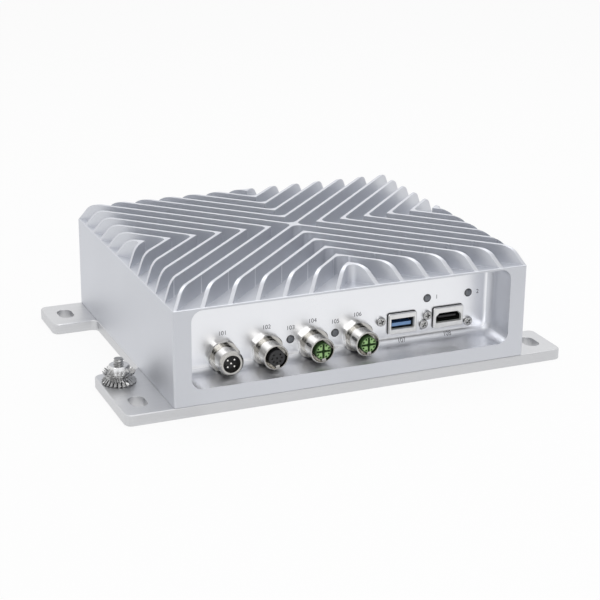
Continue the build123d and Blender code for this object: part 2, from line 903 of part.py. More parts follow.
def power_row(x, solid):
    """A row of like power parts on the carrier board."""
    middle = (power_part_count - 1) / 2
    spots = [module_y + (i - middle) * power_part_pitch for i in range(power_part_count)]
    return group(Pos(x, y, carrier_top) * solid for y in spots)


def power_row_x():
    """Distance of the power parts from the middle: halfway between module and bosses."""
    boss_x = boss_places()[-1][0]
    return (module_width / 2 + spreader_overhang + boss_x) / 2


def inductors():
    """Power inductors."""
    return power_row(power_row_x(), Box(inductor_size, inductor_size, inductor_height, align=UP))


def capacitors():
    """Can capacitors."""
    return power_row(-power_row_x(), rod(capacitor_diameter, 0, capacitor_height))


storage_top = carrier_bottom - storage_drop
storage_bottom = storage_top - storage_thickness
storage_front = port_board_back + carrier_front_gap + storage_end_gap
storage_back = storage_front + storage_length


def storage_screw_place():
    """Axis of the screw at the card's free end."""
    return Pos(storage_x, storage_back - small_screw_head)


def storage_card():
    """Plug-in storage card, hung under the carrier board."""
    card = Box(storage_width, storage_length, storage_thickness, align=UP)
    card = Pos(storage_x, (storage_front + storage_back) / 2, storage_bottom) * card
    return card - storage_screw_place() * rod(small_screw_diameter, storage_bottom, storage_top)


def storage_socket():
    """Socket that takes the card's edge."""
    socket = Box(storage_width, storage_socket_depth, storage_socket_height, align=DOWN)
    return Pos(storage_x, storage_front, carrier_bottom) * socket - storage_card()


def storage_chips():
    """Chips on the card's underside."""
    chip = Box(storage_chip_size, storage_chip_size, storage_chip_height, align=DOWN)
    first = storage_front + storage_chip_start
    spots = [first + i * storage_chip_pitch for i in range(storage_chip_count)]
    return group(Pos(storage_x, y, storage_bottom) * chip for y in spots)


def storage_pillar():
    """Round pillar between the card's free end and the carrier board."""
    pillar = rod(small_screw_head, storage_top, carrier_bottom)
    return storage_screw_place() * (pillar - rod(small_screw_diameter, storage_top, carrier_bottom))


def storage_screw():
    """Screw that holds the card's free end to its pillar."""
    screw = rod(small_screw_diameter, storage_bottom, carrier_bottom)
    screw += rod(small_screw_head, storage_bottom - small_screw_head_height, storage_bottom)
    return storage_screw_place() * screw


def make_nodes():
    """Every sub-part of the computer, by name."""
    usb_outer, usb_inner = usb_shell_outlines()
    video_outer, video_inner = video_shell_outlines()
    usb_mouth = usb_outline(usb_mouth_width, usb_mouth_height)
    video_mouth = video_outline(video_mouth_width, video_mouth_height, video_mouth_shoulder)
    usb_size = rect_ports["usb_port"]
    video_size = rect_ports["video_port"]
    nodes = {
        "heatsink_housing": heatsink_housing(),
        "base_plate": base_plate(),
        "base_plate_screws": base_screws(),
        "housing_gasket": gasket_ring(gasket_depth),
        "ground_stud": ground_stud(),
        "ground_nut": ground_nut(),
        "ground_washer_lower": star_washer(washer_diameter, lower_washer_top, -lower_washer_drop),
        "ground_washer_upper": star_washer(upper_washer_diameter, nut_bottom, upper_washer_rise),
        "power_port_shell": round_port_shell(
            power_port_x, male_bore, (barrel_diameter - male_tip) / 2, power_flange_turn, False
        ),
        "power_port_insert": power_port_insert(),
        "power_port_pins": group(on_panel(power_port_x, port_height) * pin for pin in power_pins()),
        "data_port_shell": round_port_shell(
            data_port_x, female_bore, female_barrel_chamfer, flange_turn, True
        ),
        "data_port_insert": data_port_insert(),
        "data_port_contacts": group(on_panel(data_port_x, port_height) * c for c in data_contacts()),
        "port_seals": port_seals(),
        "port_back_nuts": port_back_nuts(),
        "usb_port_frame": rect_port_frame(*usb_size, usb_outer),
        "usb_port_face": rect_port_face(*usb_size, usb_mouth, usb_outer),
        "usb_port_shell": port_shell(usb_port_x, usb_outer, usb_inner),
        "usb_port_tongue": port_tongue(
            usb_port_x, usb_inner, usb_tongue_width, usb_tongue_thickness, usb_tongue_rise
        ),
        "video_port_frame": rect_port_frame(*video_size, video_outer),
        "video_port_face": rect_port_face(*video_size, video_mouth, video_outer),
        "video_port_shell": port_shell(video_port_x, video_outer, video_inner),
        "video_port_tongue": port_tongue(
            video_port_x, video_inner, video_tongue_width, video_tongue_thickness, 0
        ),
        "port_screws": port_screws(),
        "port_board": port_board(),
        "port_board_pillars": port_board_pillars(),
        "port_board_screws": port_board_screws(),
        "indicator_leds": indicator_leds(),
        "board_link": board_link(),
        "carrier_board": carrier_board(),
        "carrier_board_screws": carrier_screws(),
        "inductors": inductors(),
        "capacitors": capacitors(),
        "compute_module_board": module_board(),
        "compute_module_connector": module_connector(),
        "processor": processor(),
        "memory_chips": memory_chips(),
        "heat_spreader": heat_spreader(),
        "heat_spreader_screws": spreader_screws(),
        "thermal_pad": thermal_pad(),
        "storage_card": storage_card(),
        "storage_card_chips": storage_chips(),
        "storage_card_socket": storage_socket(),
        "storage_card_pillar": storage_pillar(),
        "storage_card_screw": storage_screw(),
    }
    for name, x in (("network_port_2", network_port_2_x), ("network_port_1", network_port_1_x)):
        place = on_panel(x, port_height)
        nodes[name + "_shell"] = round_port_shell(
            x, female_bore, female_barrel_chamfer, flange_turn, True
        )
        nodes[name + "_insert"] = network_port_insert(x)
        nodes[name + "_shield"] = place * shield_cross()
        nodes[name + "_contacts"] = group(place * contact for contact in network_contacts())
    for name, (x, height) in lenses.items():
        nodes[name] = lens(x, height)
    return nodes


os.makedirs("parts", exist_ok=True)
for node_name, solid in make_nodes().items():
    solid.label = node_name
    export_step(solid, "parts/" + node_name + ".step")
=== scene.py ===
import json
import math

import bmesh
import bpy
from bpy.props import FloatProperty, FloatVectorProperty, IntProperty, PointerProperty
from mathutils import Matrix, Quaternion, Vector


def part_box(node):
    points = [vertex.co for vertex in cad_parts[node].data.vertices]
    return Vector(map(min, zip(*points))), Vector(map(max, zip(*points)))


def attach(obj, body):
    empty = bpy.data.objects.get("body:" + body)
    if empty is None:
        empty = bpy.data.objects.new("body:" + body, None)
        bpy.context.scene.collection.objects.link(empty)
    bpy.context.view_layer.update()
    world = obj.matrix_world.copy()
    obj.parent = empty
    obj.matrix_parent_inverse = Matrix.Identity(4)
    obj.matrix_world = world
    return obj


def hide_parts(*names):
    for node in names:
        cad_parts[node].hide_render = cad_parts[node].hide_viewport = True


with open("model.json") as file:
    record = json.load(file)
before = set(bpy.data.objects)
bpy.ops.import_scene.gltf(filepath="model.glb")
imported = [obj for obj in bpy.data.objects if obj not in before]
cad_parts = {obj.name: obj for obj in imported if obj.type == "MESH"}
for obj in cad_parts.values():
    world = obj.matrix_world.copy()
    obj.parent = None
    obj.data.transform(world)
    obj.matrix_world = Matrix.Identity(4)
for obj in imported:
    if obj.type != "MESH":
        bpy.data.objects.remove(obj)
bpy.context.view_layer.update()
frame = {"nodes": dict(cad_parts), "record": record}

bl_info = {
    "name": "Edge Computer Dressing",
    "version": (1, 0, 0),
    "blender": (4, 5, 0),
    "location": "View3D > Sidebar > Edge Computer",
    "description": "Finishes and fine pieces of a fanless edge computer, built round its packed model",
    "category": "Object",
}

MM = 0.001
NODES_WITH = {}
for part in frame["record"]["subparts"]:
    NODES_WITH.setdefault(part["material_slot"], []).append(part["node"])


# Where the frame's own pieces are

def middle(node):
    """Middle of a node's box."""
    low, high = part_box(node)
    return (low + high) / 2


def panel_front():
    """Y of the panel that the ports stand on: the sealing rings end there."""
    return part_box("port_seals")[1].y


def on_panel(x, z, reach=0.0):
    """Places a piece modelled along Z so that it stands out of the panel at x, z."""
    turn = Matrix(((1, 0, 0), (0, 0, -1), (0, 1, 0))).to_4x4()
    return Matrix.Translation((x, panel_front() - reach, z)) @ turn


# Settings

def length(name, description, millimetres):
    """A size in the sidebar, given here in millimetres."""
    return FloatProperty(
        name=name, description=description, default=millimetres * MM, precision=5, unit="LENGTH"
    )


def angle(name, description, degrees):
    """An angle in the sidebar, given here in degrees."""
    return FloatProperty(
        name=name, description=description, default=math.radians(degrees), unit="ROTATION"
    )


def colour(name, description, value):
    """A linear colour in the sidebar."""
    return FloatVectorProperty(
        name=name, description=description, default=value, subtype="COLOR", size=3, min=0, max=1
    )


def share(name, description, value):
    """A plain number in the sidebar."""
    return FloatProperty(name=name, description=description, default=value)


def count(name, description, value):
    """A whole number in the sidebar."""
    return IntProperty(name=name, description=description, default=value, min=1)


class StageSettings(bpy.types.PropertyGroup):
    """Camera, floor and lamps."""

    camera_azimuth: angle("Camera azimuth", "Turn of the camera about Z, 0 looks along +Y", -23.264)
    camera_elevation: angle("Camera elevation", "Height of the camera over the horizon", 19.717)
    camera_roll: angle("Camera roll", "Turn of the camera about its own line of sight", 0.6245)
    camera_distance: length("Camera distance", "From the point looked at to the lens", 852.5)
    camera_aim: FloatVectorProperty(
        name="Point looked at",
        description="Point in the middle of the picture",
        default=(-4.62 * MM, -20.25 * MM, 29.05 * MM),
        precision=5,
        subtype="XYZ",
        unit="LENGTH",
    )
    lens: share("Lens", "Focal length in millimetres on a 36 mm sensor", 96.857)
    floor_colour: colour("Floor", "Colour of the floor", (0.97, 0.97, 0.97))
    floor_size: length("Floor size", "Half the floor's width", 4000)
    floor_drop: length("Floor drop", "Gap between the floor and the object's underside", 0.05)
    floor_whitening: share("Floor whitening", "How far the seen floor is lifted to white", 0.89)
    ambient: share("Ambient", "Strength of the world's light on the object", 0.6)
    key_power: share("Key lamp", "Power of the overhead softbox in watts", 3.3)
    key_size: length("Key size", "Width of the overhead softbox", 900)
    key_right: length("Key right", "How far right of the middle the overhead softbox hangs", 124.5)
    key_back: length("Key back", "How far behind the middle the overhead softbox hangs", 83)
    key_height: length("Key height", "Height of the overhead softbox", 1000)
    front_power: share("Front lamp", "Power of the softbox beside the camera in watts", 1.3)
    front_size: length("Front lamp size", "Width of the softbox beside the camera", 420)
    front_azimuth: angle("Front azimuth", "Turn of the front softbox from the front", -12)
    front_elevation: angle("Front elevation", "Height of the front softbox", 27)
    front_distance: length("Front distance", "From the object to the front softbox", 1050)
    flag_size: length("Flag size", "Width of the black cards at both sides of the front", 400)
    flag_distance: length("Flag distance", "From the object to the black cards", 900)
    right_flag_azimuth: angle("Right flag azimuth", "Turn of the right card from the front", 28)
    right_flag_elevation: angle("Right flag elevation", "Height of the right card", 13)
    left_flag_azimuth: angle("Left flag azimuth", "Turn of the left card from the front", -40)
    left_flag_elevation: angle("Left flag elevation", "Height of the left card", 2)


class FineSizes(bpy.types.PropertyGroup):
    """Sizes of the pieces that are added to the frame."""

    thread_pitch: length("Stud thread pitch", "Rise of one turn on the ground stud", 1.2)
    thread_depth: length("Stud thread depth", "Depth of the ground stud's thread", 0.5)
    stud_chamfer: length("Stud chamfer", "Chamfer at the stud's tip", 0.35)
    round_steps: count("Steps round", "Segments round a small turned piece", 48)
    tooth_length: length("Tooth length", "Length of a washer's teeth", 2.4)
    tooth_twist: angle("Tooth twist", "Twist of a washer's teeth", 32)
    tooth_spread: share("Tooth spread", "How much wider a tooth is at its tip", 0.45)
    washer_sheet: length("Washer sheet", "Thickness of a washer's teeth", 0.5)
    washer_middle: length("Washer middle", "Thickness of a washer's flat middle", 1.1)
    washer_flat: length("Washer flat", "Radius of a washer's flat middle", 5.48)
    washer_bore: length("Washer bore", "Gap between a washer and the stud", 0.2)
    washer_teeth: count("Washer teeth", "Teeth round a star washer", 24)
    screw_head: length("Port screw head", "Width of a port screw's head", 5.15)
    screw_shank: length("Port screw shank", "Width of a port screw's shank", 2.5)
    recess_span: length("Recess span", "Width of the cross recess in a port screw", 2.9)
    recess_slot: length("Recess slot", "Width of one slot of the cross recess", 0.8)
    recess_depth: length("Recess depth", "Depth of the cross recess", 1.1)
    recess_taper: share("Recess taper", "Size of the recess's bottom against its top", 0.55)
    petal_rise: length("Petal rise", "How far a petal stands out of its insert", 0.4)
    petal_gap: length("Petal gap", "Width of the cross between the petals", 1.2)
    petal_rim: length("Petal rim", "Insert left bare round the petals", 0.4)
    petal_corner: length("Petal corner", "Rounding of the petals' corners", 0.75)
    petal_hole: length("Petal hole", "Width of a contact hole", 1.05)
    hole_reach: length("Hole reach", "From an insert's middle to a petal's pair of holes", 3.1)
    hole_spread: length("Hole spread", "Half the distance between a petal's two holes", 1.0)
    petal_lip: length("Petal lip", "Bevel round a petal's face", 0.12)
    numeral_height: length("Numeral height", "Height of the printed numerals", 2.2)
    numeral_rise: length("Print thickness", "How far the print stands proud", 0.025)
    over_port: length("Over a port", "From a round port up to its numeral", 11.4)
    over_lens: length("Over a lens", "From a lower lens up to its numeral", 6.1)
    under_port: length("Under a port", "From a rectangular port down to its numeral", 9.6)
    beside_lens: length("Beside a lens", "From an upper lens to its numeral", 5.5)


class FinishColours(bpy.types.PropertyGroup):
    """Colours of the finishes."""

    housing: colour("Housing", "Bead-blasted aluminium", (0.65, 0.665, 0.705))
    # Painted light: this panel colour is lighter than the housing's to stand in for the light on the
    # panel and the recess's floor; their real finer milled finish is their lower roughness and smoother
    # bump.
    panel: colour("Panel", "Fine-milled aluminium behind the ports", (0.88, 0.89, 0.92))
    plate: colour("Base plate", "Milled aluminium", (0.65, 0.655, 0.67))
    nickel: colour("Port shells", "Nickel-plated brass", (0.5, 0.49, 0.47))
    steel: colour("Steel", "Stud, nut, washers and screws", (0.6, 0.6, 0.6))
    face: colour("Port faces", "Plated faces of the rectangular ports", (0.8, 0.8, 0.8))
    # Painted shade and painted reflection: the shield crosses are metal; this dark green stands in for
    # the shade between the petals and for the green plastic mirrored in them.
    shield_painted_shade: colour("Shields", "Shield crosses, dark between the green petals", (0.02, 0.05, 0.015))
    shell: colour("Inner shells", "Tinned shells of the rectangular ports", (0.42, 0.43, 0.42))
    contact: colour("Contacts", "Bright tinned contacts", (0.86, 0.85, 0.82))
    black: colour("Black plastic", "Inserts, frames and connectors", (0.016, 0.016, 0.018))
    # Painted shade: the inserts are the same green plastic as the petals, coloured darker to stand in
    # for the shade inside the bores.
    green: colour("Network inserts", "Green plastic", (0.045, 0.1, 0.03))
    petal: colour("Network petals", "Light green plastic", (0.3, 0.5, 0.2))
    blue: colour("Blue tongue", "Tongue of the square port", (0.025, 0.07, 0.2))
    # Painted highlight: this paler blue stands in for the light falling on the tongue's front edge.
    painted_lit_blue: colour("Worn blue", "Front edge of the tongue", (0.19, 0.34, 0.6))
    lens: colour("Lenses", "Smoked lenses", (0.075, 0.08, 0.09))
    rubber: colour("Rubber", "Gasket and sealing rings", (0.02, 0.02, 0.02))
    board: colour("Boards", "Solder mask", (0.01, 0.075, 0.03))
    brass: colour("Pillars", "Brass", (0.6, 0.42, 0.16))
    print_grey: colour("Print", "Ink of the numerals", (0.06, 0.06, 0.075))


# Shader nodes

class Wire:
    """Output of a shader node. Arithmetic on wires adds Math nodes."""

    def __init__(self, nodes, socket):
        self.nodes = nodes
        self.socket = socket

    def math(self, operation, *values):
        return self.nodes.node("ShaderNodeMath", {"operation": operation}, dict(enumerate(values)))

    def __add__(self, other):
        return self.math("ADD", self, other)

    def __radd__(self, other):
        return self.math("ADD", other, self)

    def __sub__(self, other):
        return self.math("SUBTRACT", self, other)

    def __rsub__(self, other):
        return self.math("SUBTRACT", other, self)

    def __mul__(self, other):
        return self.math("MULTIPLY", self, other)

    def __rmul__(self, other):
        return self.math("MULTIPLY", other, self)

    def __truediv__(self, other):
        return self.math("DIVIDE", self, other)

    def __pow__(self, other):
        return self.math("POWER", self, other)

    def __gt__(self, other):
        return self.math("GREATER_THAN", self, other)

    def __lt__(self, other):
        return self.math("LESS_THAN", self, other)

    def __abs__(self):
        return self.math("ABSOLUTE", self)

    def within(self, low, high):
        """The wire held between two limits."""
        return self.math("MINIMUM", self.math("MAXIMUM", self, low), high)


class Nodes:
    """A node tree, and one method that adds a node to it."""

    def __init__(self, tree):
        self.tree = tree
        self.tree.nodes.clear()

    def node(self, kind, settings=None, values=None, output=0):
        made = self.tree.nodes.new(kind)
        for name, setting in (settings or {}).items():
            if name == "stops":
                self.set_stops(made.color_ramp, setting)
            else:
                setattr(made, name, setting)
        for key, value in (values or {}).items():
            if isinstance(value, Wire):
                self.tree.links.new(value.socket, made.inputs[key])
            else:
                made.inputs[key].default_value = value
        return Wire(self, made.outputs[output]) if len(made.outputs) else None

    def set_stops(self, ramp, stops):
        for index, (position, value) in enumerate(stops):
            stop = ramp.elements[index] if index < 2 else ramp.elements.new(position)
            stop.position = position
            stop.color = (value, value, value, 1)

    def seen_directly(self):
        """1 for rays from the camera and rays mirrored or passed on by the object, 0 for the rest."""
        kinds = ("Is Camera Ray", "Is Glossy Ray", "Is Transmission Ray")
        camera, glossy, passed = (self.node("ShaderNodeLightPath", output=kind) for kind in kinds)
        return (camera + glossy + passed).within(0, 1)


class Finish(Nodes):
    """A procedural material in the making."""

    def __init__(self, name):
        self.material = bpy.data.materials.new(name)
        self.material.use_nodes = True
        super().__init__(self.material.node_tree)
        self.place = self.node("ShaderNodeTexCoord", output="Object")

    def axis(self, name):
        """One coordinate of the place, in metres."""
        return self.node("ShaderNodeSeparateXYZ", values={0: self.place}, output=name)

    def facing(self, name):
        """One coordinate of the surface's direction."""
        normal = self.node("ShaderNodeNewGeometry", output="Normal")
        return self.node("ShaderNodeSeparateXYZ", values={0: normal}, output=name)

    def noise(self, grain, detail=2.0):
        """Noise from 0 to 1 whose features are about as large as grain, along X, Y and Z."""
        scale = tuple(1 / size for size in grain)
        stretched = self.node("ShaderNodeMapping", values={"Vector": self.place, "Scale": scale})
        values = {"Vector": stretched, "Scale": 1.0, "Detail": detail}
        return self.node("ShaderNodeTexNoise", values=values)

    def even_noise(self, size, detail=2.0):
        """Noise from 0 to 1 that is alike in all directions."""
        return self.noise((size, size, size), detail)

    def blend(self, factor, low, high):
        """Colour between two colours, either of which may be a wire."""
        low = low if isinstance(low, Wire) else (*low, 1)
        high = high if isinstance(high, Wire) else (*high, 1)
        return self.node("ShaderNodeMix", {"data_type": "RGBA"}, {0: factor, 6: low, 7: high}, 2)

    def soft_edges(self, radius):
        """Surface direction with its edges rounded off."""
        return self.node("ShaderNodeBevel", {"samples": 6}, {"Radius": radius})

    def bump(self, height, distance, normal=None):
        """Surface direction with a height pattern on it."""
        values = {"Height": height, "Distance": distance, "Strength": 1.0}
        if normal:
            values["Normal"] = normal
        return self.node("ShaderNodeBump", values=values)

    def surface(self, **sockets):
        """Closes the material with a Principled shader and gives the material."""
        values = {name.replace("_", " "): value for name, value in sockets.items()}
        for name in ("Base Color", "Emission Color"):
            if name in values and not isinstance(values[name], Wire):
                values[name] = (*values[name], 1)
        shader = self.node("ShaderNodeBsdfPrincipled", values=values)
        self.node("ShaderNodeOutputMaterial", values={"Surface": shader})
        return self.material


def shade(value, factor):
    """A colour made darker or lighter."""
    return tuple(min(1.0, part * factor) for part in value)


# Finishes of the metals

def blasted_aluminium(colours):
    """Satin housing: fine blasted grain, milling streaks on the recess's floor, and painted light: the
    panel and the recess's floor are milled smoother and are coloured lighter to stand in for the light
    that falls on them.
    """
    finish = Finish("housing_aluminium")
    openings = frame["record"]["physics"]["openings"]
    recess = next(box for box in openings if box["name"] == "recess_before_ports")["box_m"]
    floor_zone = (finish.axis("Z") < recess[0][2] + 1 * MM) * finish.facing("Z").within(0, 1)
    panel_zone = (abs(finish.axis("Y") - panel_front()) < 0.4 * MM) * (finish.facing("Y") < -0.5)
    cloud = finish.even_noise(45 * MM)
    grain = finish.even_noise(0.35 * MM, 3)
    streaks = finish.noise((60 * MM, 0.5 * MM, 0.5 * MM), 3)
    tone = (cloud * 0.6 + streaks * floor_zone * 0.8).within(0, 1)
    milled_with_painted_light = (floor_zone + panel_zone).within(0, 1)
    height = grain * (1 - milled_with_painted_light) + streaks * floor_zone * 0.3
    wall = finish.blend(tone, shade(colours.housing, 1.03), shade(colours.housing, 0.93))
    # Painted light: the panel and the recess's floor get this lighter colour to stand in for the light
    # that falls on them.
    panel = finish.blend(tone, colours.panel, shade(colours.panel, 0.97))
    return finish.surface(
        Base_Color=finish.blend(milled_with_painted_light, wall, panel),
        Roughness=0.42 + grain * 0.08 + cloud * 0.04 - panel_zone * 0.19 - floor_zone * 0.04,
        Metallic=1.0,
        Normal=finish.bump(height, 0.02 * MM, finish.soft_edges(0.3 * MM)),
    )


def milled_aluminium(colours):
    """Base plate: fine lines along X from the milling cutter."""
    finish = Finish("plate_aluminium")
    lines = finish.noise((55 * MM, 1.2 * MM, 0.45 * MM), 3)
    cloud = finish.even_noise(50 * MM)
    grain = finish.even_noise(0.4 * MM, 2)
    tone = (lines * 0.7 + cloud * 0.3).within(0, 1)
    return finish.surface(
        Base_Color=finish.blend(tone, shade(colours.plate, 1.04), shade(colours.plate, 0.92)),
        Roughness=0.33 + lines * 0.12 + grain * 0.05,
        Metallic=1.0,
        Normal=finish.bump(lines * 0.8 + grain * 0.2, 0.03 * MM, finish.soft_edges(0.4 * MM)),
    )


def plated(name, colour_value, roughness, along, ring=0.25, edge=0.15):
    """Bright plated or turned metal with faint tool rings across one axis."""
    finish = Finish(name)
    grain = [30 * MM] * 3
    grain["XYZ".index(along)] = ring * MM
    rings = finish.noise(grain, 3)
    smear = finish.even_noise(2.2 * MM)
    return finish.surface(
        Base_Color=finish.blend(smear, shade(colour_value, 1.05), shade(colour_value, 0.9)),
        Roughness=roughness + rings * 0.05 + smear * 0.05,
        Metallic=1.0,
        Normal=finish.bump(rings, 0.004 * MM, finish.soft_edges(edge * MM)),
    )


def sheet_metal(name, colour_value, roughness):
    """Drawn sheet: faint lines along the draw and small clouds."""
    finish = Finish(name)
    lines = finish.noise((6 * MM, 0.2 * MM, 6 * MM), 2)
    cloud = finish.even_noise(3 * MM)
    return finish.surface(
        Base_Color=finish.blend(cloud, colour_value, shade(colour_value, 0.85)),
        Roughness=roughness + lines * 0.08,
        Metallic=1.0,
        Normal=finish.bump(lines, 0.003 * MM, finish.soft_edges(0.1 * MM)),
    )


def spreader_aluminium(colours):
    """Milled heat spreader inside the housing."""
    finish = Finish("spreader_aluminium")
    lines = finish.noise((30 * MM, 0.6 * MM, 0.6 * MM), 3)
    return finish.surface(
        Base_Color=finish.blend(lines, colours.plate, shade(colours.plate, 0.85)),
        Roughness=0.3 + lines * 0.15,
        Metallic=1.0,
        Normal=finish.bump(lines, 0.02 * MM),
    )


# Finishes of the plastics, boards and chips

def moulded(name, colour_value, roughness=0.42, grain=0.25, depth=0.01, edge=0.12):
    """Moulded plastic or rubber: fine spark-eroded grain, slight unevenness."""
    finish = Finish(name)
    texture = finish.even_noise(grain * MM, 3)
    cloud = finish.even_noise(4 * MM)
    return finish.surface(
        Base_Color=finish.blend(cloud, shade(colour_value, 1.2), shade(colour_value, 0.85)),
        Roughness=roughness + texture * 0.12,
        Normal=finish.bump(texture, depth * MM, finish.soft_edges(edge * MM)),
    )


def blue_tongue(colours):
    """Blue plastic, with a painted highlight: the lower part of the tongue's front edge is coloured
    paler blue to stand in for the light on it.
    """
    finish = Finish("tongue_blue")
    low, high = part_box("usb_port_tongue")
    # Painted highlight: the lower part of the tongue's front edge, coloured paler blue for the light on
    # it.
    tip = (finish.axis("Y") < low.y + 0.12 * MM) * (finish.axis("Z") < low.z * 0.4 + high.z * 0.6)
    texture = finish.even_noise(0.2 * MM, 3)
    return finish.surface(
        Base_Color=finish.blend(tip, colours.blue, colours.painted_lit_blue),
        Roughness=0.38 + texture * 0.1,
        Normal=finish.bump(texture, 0.006 * MM, finish.soft_edges(0.1 * MM)),
    )


def smoked_lens(node, colours):
    """Smoked dome: darker towards its rim, lighter and slightly cloudy in its middle."""
    finish = Finish("lens_smoke_" + node)
    centre = middle(node)
    across = finish.axis("X") - centre.x
    up = finish.axis("Z") - centre.z
    low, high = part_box(node)
    from_middle = (across * across + up * up) ** 0.5 / ((high.x - low.x) / 2)
    cloud = finish.even_noise(1.2 * MM, 3)
    rim = ((from_middle - 0.55) / 0.4).within(0, 1)
    tone = (rim + cloud * 0.5 - 0.2).within(0, 1)
    return finish.surface(
        Base_Color=finish.blend(tone, shade(colours.lens, 2.1), shade(colours.lens, 0.15)),
        Roughness=0.22 + cloud * 0.12,
        Coat_Weight=0.4,
        Normal=finish.bump(cloud, 0.02 * MM),
    )


def solder_mask(colours):
    """Board: green solder mask with fine tracks under it."""
    finish = Finish("board_green")
    tracks = finish.noise((9 * MM, 0.7 * MM, 0.7 * MM), 0) > 0.54
    cross = finish.noise((0.7 * MM, 9 * MM, 9 * MM), 0) > 0.56
    copper = (tracks + cross).within(0, 1)
    return finish.surface(
        Base_Color=finish.blend(copper, colours.board, shade(colours.board, 2.2)),
        Roughness=0.3 + finish.even_noise(5 * MM) * 0.1,
        Coat_Weight=0.3,
        Normal=finish.bump(copper, 0.03 * MM),
    )


def led_body():
    """White LED package with a yellow phosphor window."""
    finish = Finish("led_white")
    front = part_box("indicator_leds")[0].y
    window = (finish.axis("Y") < front + 0.1 * MM) * finish.even_noise(0.8 * MM)
    return finish.surface(
        Base_Color=finish.blend(window, (0.75, 0.75, 0.72), (0.7, 0.55, 0.12)),
        Roughness=0.4 + window * 0.1,
    )


def printed_ink(colours):
    """Grey ink, slightly uneven where it took to the blasted surface."""
    finish = Finish("print_grey")
    patches = finish.even_noise(0.3 * MM, 3)
    return finish.surface(
        Base_Color=finish.blend(patches, colours.print_grey, shade(colours.print_grey, 1.6)),
        Roughness=0.5 + patches * 0.15,
        Normal=finish.bump(patches, 0.005 * MM),
    )


# Mesh helpers

def verts_in(geometry):
    return [item for item in geometry if isinstance(item, bmesh.types.BMVert)]


def open_edges_in(geometry):
    return [item for item in geometry if isinstance(item, bmesh.types.BMEdge) and item.is_boundary]


def linked(verts, kind):
    """The edges or faces round some vertices, each of them once and in a steady order."""
    return list(dict.fromkeys(item for vert in verts for item in getattr(vert, "link_" + kind)))


def grow_ring(bm, edges, radius, height):
    """Extrudes a ring of edges about Z to a new radius and height, and gives the new ring."""
    grown = bmesh.ops.extrude_edge_only(bm, edges=edges)["geom"]
    for vert in verts_in(grown):
        vert.co.xy *= radius / vert.co.xy.length
        vert.co.z = height
    return open_edges_in(grown)


def cap_ring(bm, edges):
    """Closes a ring of edges with one face."""
    bmesh.ops.contextual_create(bm, geom=edges)


def circle_edges(bm, radius, steps, spot=(0, 0), height=0.0):
    """An empty circle about a spot, as its edges."""
    place = Matrix.Translation((*spot, height))
    made = bmesh.ops.create_circle(bm, cap_ends=False, segments=steps, radius=radius, matrix=place)
    return linked(made["verts"], "edges")


def finish_piece(name, bm, material, replaced=(), smooth_below=35):
    """Makes a bmesh a finished piece that rides on the body, and stands for the nodes it replaces."""
    bmesh.ops.remove_doubles(bm, verts=bm.verts, dist=0.0005 * MM)
    bmesh.ops.recalc_face_normals(bm, faces=bm.faces)
    mesh = bpy.data.meshes.new(name)
    bm.to_mesh(mesh)
    bm.free()
    mesh.shade_smooth()
    mesh.set_sharp_from_angle(angle=math.radians(smooth_below))
    mesh.materials.append(material)
    piece = bpy.data.objects.new(name, mesh)
    bpy.context.scene.collection.objects.link(piece)
    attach(piece, "root")
    if replaced:
        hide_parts(*replaced)
    return piece


def dress(node, material):
    """Gives a node of the frame its finish."""
    mesh = frame["nodes"][node].data
    mesh.materials.clear()
    mesh.materials.append(material)


def dress_slot(slot, material):
    """Gives every node with a slot the same finish."""
    for node in NODES_WITH[slot]:
        dress(node, material)


# Fine pieces

def threaded_rod(bm, radius, low, high, sizes):
    """A rod with a V thread: one tooth's outline spun about Z while it climbs, then trimmed."""
    pitch = sizes.thread_pitch
    root = radius - sizes.thread_depth
    steps = sizes.round_steps
    turns = math.ceil((high - low) / pitch) + 2
    outline = [(root, 0.125), (radius, 0.4375), (radius, 0.5625), (root, 0.875), (root, 1.125)]
    start = low - 1.5 * pitch
    verts = [bm.verts.new((reach, 0, start + rise * pitch)) for reach, rise in outline]
    edges = [bm.edges.new(pair) for pair in zip(verts, verts[1:])]
    bmesh.ops.spin(
        bm,
        geom=verts + edges,
        axis=(0, 0, 1),
        cent=(0, 0, 0),
        dvec=(0, 0, pitch / steps),
        angle=2 * math.pi * turns,
        steps=steps * turns,
        use_merge=False,
        use_duplicate=False,
    )
    bmesh.ops.remove_doubles(bm, verts=bm.verts, dist=0.0005 * MM)
    trim(bm, high, "clear_outer")
    trim(bm, low, "clear_inner")
    shoulder = high - sizes.stud_chamfer
    trim(bm, shoulder, None)
    for vert in bm.verts:
        limit = radius - max(0.0, vert.co.z - shoulder)
        if vert.co.xy.length > limit:
            vert.co.xy *= limit / vert.co.xy.length
    bmesh.ops.holes_fill(bm, edges=[edge for edge in bm.edges if edge.is_boundary], sides=0)


def trim(bm, height, side):
    """Cuts a mesh at a height, and clears one side of the cut if it is named."""
    options = {side: True} if side else {}
    geometry = bm.verts[:] + bm.edges[:] + bm.faces[:]
    bmesh.ops.bisect_plane(
        bm, geom=geometry, dist=0.0001 * MM, plane_co=(0, 0, height), plane_no=(0, 0, 1), **options
    )


